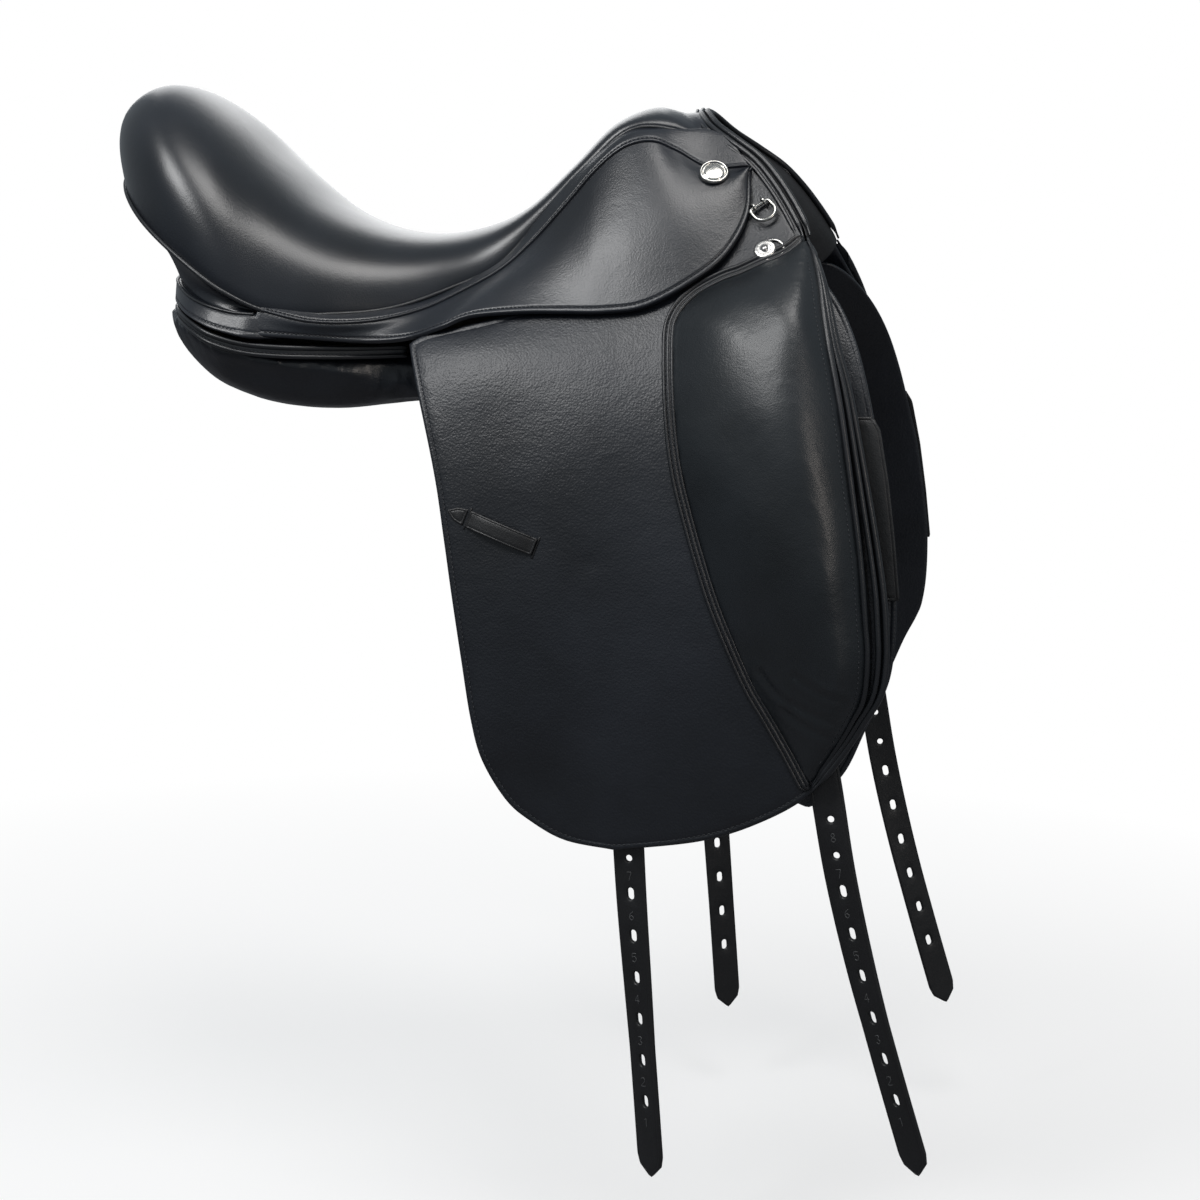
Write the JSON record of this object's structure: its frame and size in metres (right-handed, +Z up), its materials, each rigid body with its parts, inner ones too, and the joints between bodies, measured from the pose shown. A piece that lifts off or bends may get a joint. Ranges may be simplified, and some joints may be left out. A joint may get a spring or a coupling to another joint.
{
  "type": "english saddle",
  "caption": "Dressage saddle with a deep seat, straight flaps with knee blocks, stuffed panels, stirrup bars and hanging girth straps.",
  "frame": {"origin": "on the centre plane, below the deepest point of the seat, at the level where the soles of the panels rest on the back", "axes": "+X forward to the pommel, +Y to the near (left) side, +Z up"},
  "size_m": [0.6531, 0.4434, 0.7953],
  "materials": {
    "leather_black": "smooth calf leather, semi-gloss",
    "leather_welt": "rolled piping leather",
    "strap_leather": "waxed strap leather",
    "panel_leather": "soft panel leather",
    "suede": "soft calf over foam",
    "wood": "laminated beech, varnished",
    "steel": "brushed",
    "nickel": "polished",
    "web": "woven linen and nylon web",
    "foam": "open-cell foam",
    "wool": "wool flock"
  },
  "bodies": {
    "saddle": {"tree_frame": "wood", "head_arch": "wood", "gullet_plate": "steel", "tree_point_right": "wood", "tree_point_left": "wood", "spring_steels": "steel", "stirrup_bar_right": "steel", "stirrup_bar_left": "steel", "bar_rivets": "steel", "catch_pins": "steel", "strainer_webbing": "web", "girth_webbing_right": "web", "girth_webbing_left": "web", "strap_rivets": "steel", "seat_foam": "foam", "seat_cover": "leather_black", "seat_welt": "leather_welt", "cantle_facing": "leather_black", "cantle_band": "leather_black", "pommel_facing": "leather_black", "skirt_top_right": "leather_black", "skirt_top_left": "leather_black", "skirt_badges": "nickel", "panel_cover_right": "panel_leather", "panel_cover_left": "panel_leather", "panel_flock_right": "wool", "panel_flock_left": "wool", "panel_welts_right": "leather_welt", "panel_welts_left": "leather_welt", "sweat_flap_right": "leather_black", "sweat_flap_left": "leather_black", "flap_head_right": "leather_black", "flap_head_left": "leather_black", "point_nails": "nickel", "dee_staples": "nickel"},
    "skirt_right": {"skirt_flap_right": "leather_black"},
    "flap_right": {"flap_right": "leather_black", "knee_block_right": "suede", "block_foam_right": "foam", "keeper_right": "leather_black"},
    "front_strap_right": {"strap_front_right": "strap_leather"},
    "rear_strap_right": {"strap_rear_right": "strap_leather"},
    "ring_right": {"dee_ring_right": "nickel"},
    "catch_right": {"bar_catch_right": "steel"},
    "skirt_left": {"skirt_flap_left": "leather_black"},
    "flap_left": {"flap_left": "leather_black", "knee_block_left": "suede", "block_foam_left": "foam", "keeper_left": "leather_black"},
    "front_strap_left": {"strap_front_left": "strap_leather"},
    "rear_strap_left": {"strap_rear_left": "strap_leather"},
    "ring_left": {"dee_ring_left": "nickel"},
    "catch_left": {"bar_catch_left": "steel"}
  },
  "joints": [
    {"name": "skirt_lift_right", "type": "hinge", "parent": "saddle", "child": "skirt_right", "pos_m": [0.06, -0.123, 0.076], "axis": [-0.8836, -0.1795, -0.4326], "range_deg": [0, 40]},
    {"name": "flap_lift_right", "type": "hinge", "parent": "saddle", "child": "flap_right", "pos_m": [0.013, -0.125, 0.054], "axis": [-0.9892, 0, -0.1468], "range_deg": [0, 44]},
    {"name": "strap_front_swing_right", "type": "hinge", "parent": "saddle", "child": "front_strap_right", "pos_m": [0.26055, -0.11378, 0.09285], "axis": [0, 1, 0], "range_deg": [-4, 4]},
    {"name": "strap_rear_swing_right", "type": "hinge", "parent": "saddle", "child": "rear_strap_right", "pos_m": [0.16051, -0.11378, 0.07801], "axis": [0, 1, 0], "range_deg": [-4, 4]},
    {"name": "dee_ring_turn_right", "type": "hinge", "parent": "saddle", "child": "ring_right", "pos_m": [0.2653, -0.08875, 0.15236], "axis": [-0.7793, -0.3055, -0.5471], "range_deg": [0, 90]},
    {"name": "bar_catch_turn_right", "type": "hinge", "parent": "saddle", "child": "catch_right", "pos_m": [0.1171, -0.09702, 0.09507], "axis": [0.0854, 0.8132, -0.5757], "range_deg": [0, 75]},
    {"name": "skirt_lift_left", "type": "hinge", "parent": "saddle", "child": "skirt_left", "pos_m": [0.06, 0.123, 0.076], "axis": [0.8836, -0.1795, 0.4326], "range_deg": [0, 40]},
    {"name": "flap_lift_left", "type": "hinge", "parent": "saddle", "child": "flap_left", "pos_m": [0.013, 0.125, 0.054], "axis": [0.9892, 0, 0.1468], "range_deg": [0, 44]},
    {"name": "strap_front_swing_left", "type": "hinge", "parent": "saddle", "child": "front_strap_left", "pos_m": [0.26055, 0.11378, 0.09285], "axis": [0, 1, 0], "range_deg": [-4, 4]},
    {"name": "strap_rear_swing_left", "type": "hinge", "parent": "saddle", "child": "rear_strap_left", "pos_m": [0.16051, 0.11378, 0.07801], "axis": [0, 1, 0], "range_deg": [-4, 4]},
    {"name": "dee_ring_turn_left", "type": "hinge", "parent": "saddle", "child": "ring_left", "pos_m": [0.2653, 0.08875, 0.15236], "axis": [0.7793, -0.3055, 0.5471], "range_deg": [0, 90]},
    {"name": "bar_catch_turn_left", "type": "hinge", "parent": "saddle", "child": "catch_left", "pos_m": [0.1171, 0.09702, 0.09507], "axis": [-0.0854, 0.8132, 0.5757], "range_deg": [0, 75]}
  ]
}
